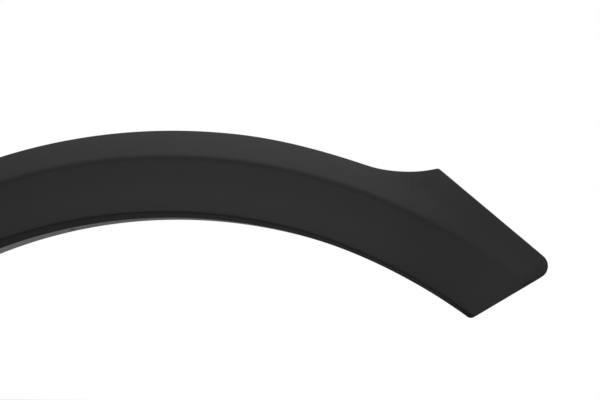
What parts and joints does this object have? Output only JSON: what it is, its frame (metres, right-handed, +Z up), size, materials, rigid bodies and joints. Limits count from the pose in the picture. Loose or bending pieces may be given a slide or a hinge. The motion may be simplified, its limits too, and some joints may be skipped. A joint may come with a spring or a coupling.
{
  "type": "wheel arch trim",
  "caption": "Moulded black trim that edges a car's wheel opening: a curved, bevelled face with a flared end, a flange under it, and push-in clips behind.",
  "frame": {"origin": "the seat of the clip at the crown of the arch, on the outer plane of the body side", "axes": "+X along the car, towards the flared end; +Z up; +Y into the car, the way the clips are pushed"},
  "size_m": [0.7167, 0.0516, 0.3778],
  "materials": {
    "moulded_black": "fine moulded grain, matte",
    "clip_nylon": "natural nylon, semi-matt"
  },
  "bodies": {
    "root": {"trim_moulding": "moulded_black", "retaining_clips": "clip_nylon"}
  },
  "joints": []
}
